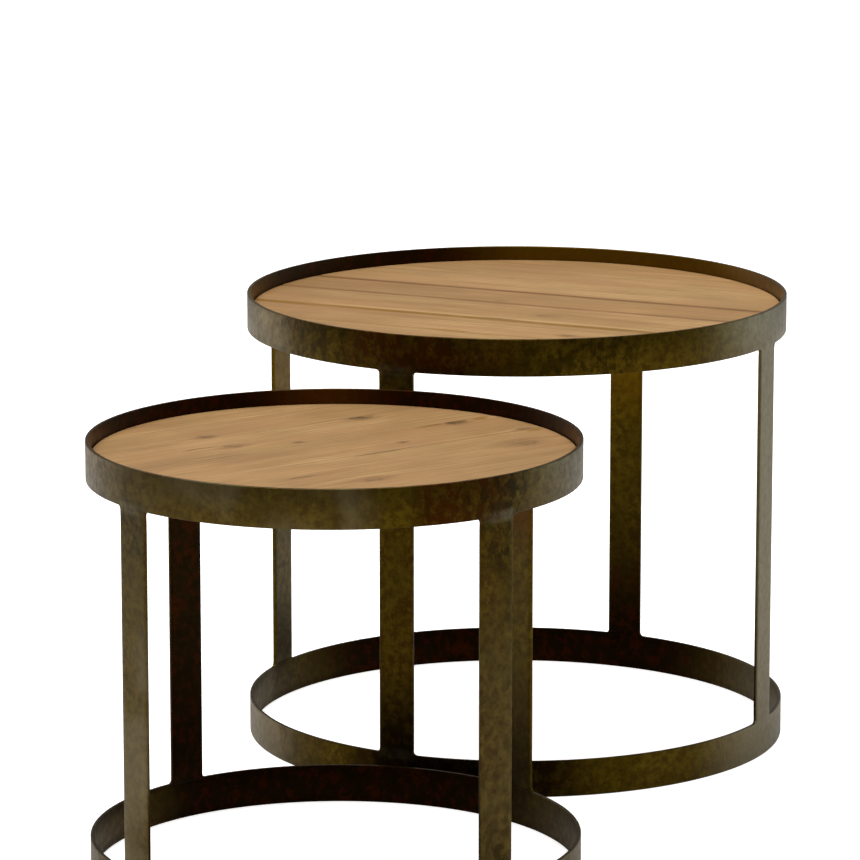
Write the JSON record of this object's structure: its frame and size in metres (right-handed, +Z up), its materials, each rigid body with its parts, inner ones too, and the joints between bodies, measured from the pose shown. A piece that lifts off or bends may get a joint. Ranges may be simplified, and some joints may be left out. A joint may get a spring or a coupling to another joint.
{
  "type": "nesting tables",
  "caption": "Round nesting side tables of welded flat steel bar, with plank tops set inside raised rims; the larger lifts over the smaller.",
  "frame": {"origin": "on the floor, in the middle of the box around both tables", "axes": "+Z up; +Y from the small table's side towards the large table, along the set's greatest length; +X to the right of someone who faces +Y with the small table nearer"},
  "size_m": [0.7424, 1.111, 0.5],
  "materials": {
    "frame_steel": "dark bronze-brown patina under wax, mottled",
    "board_wood": "sanded and oiled plank",
    "screw_zinc": "zinc plated"
  },
  "bodies": {
    "large_table": {"large_base_hoop": "frame_steel", "large_bearer_1": "frame_steel", "large_bearer_2": "frame_steel", "large_board_1": "board_wood", "large_board_2": "board_wood", "large_board_3": "board_wood", "large_board_4": "board_wood", "large_board_5": "board_wood", "large_board_6": "board_wood", "large_board_7": "board_wood", "large_leg_back": "frame_steel", "large_leg_front": "frame_steel", "large_leg_left": "frame_steel", "large_leg_right": "frame_steel", "large_screw_1a": "screw_zinc", "large_screw_1b": "screw_zinc", "large_screw_2a": "screw_zinc", "large_screw_2b": "screw_zinc", "large_screw_3a": "screw_zinc", "large_screw_3b": "screw_zinc", "large_screw_4a": "screw_zinc", "large_screw_4b": "screw_zinc", "large_screw_5a": "screw_zinc", "large_screw_5b": "screw_zinc", "large_screw_6a": "screw_zinc", "large_screw_6b": "screw_zinc", "large_screw_7a": "screw_zinc", "large_screw_7b": "screw_zinc", "large_top_hoop": "frame_steel"},
    "small_table": {"small_base_hoop": "frame_steel", "small_bearer_1": "frame_steel", "small_bearer_2": "frame_steel", "small_board_1": "board_wood", "small_board_2": "board_wood", "small_board_3": "board_wood", "small_board_4": "board_wood", "small_board_5": "board_wood", "small_board_6": "board_wood", "small_leg_back": "frame_steel", "small_leg_front": "frame_steel", "small_leg_left": "frame_steel", "small_leg_right": "frame_steel", "small_screw_1a": "screw_zinc", "small_screw_1b": "screw_zinc", "small_screw_2a": "screw_zinc", "small_screw_2b": "screw_zinc", "small_screw_3a": "screw_zinc", "small_screw_3b": "screw_zinc", "small_screw_4a": "screw_zinc", "small_screw_4b": "screw_zinc", "small_screw_5a": "screw_zinc", "small_screw_5b": "screw_zinc", "small_screw_6a": "screw_zinc", "small_screw_6b": "screw_zinc", "small_top_hoop": "frame_steel"}
  },
  "joints": [
    {"name": "small_table_slide", "type": "slide", "parent": "large_table", "child": "small_table", "axis": [-0.3244, -0.9459, 0], "range_m": [-0.04, 0.25]}
  ]
}
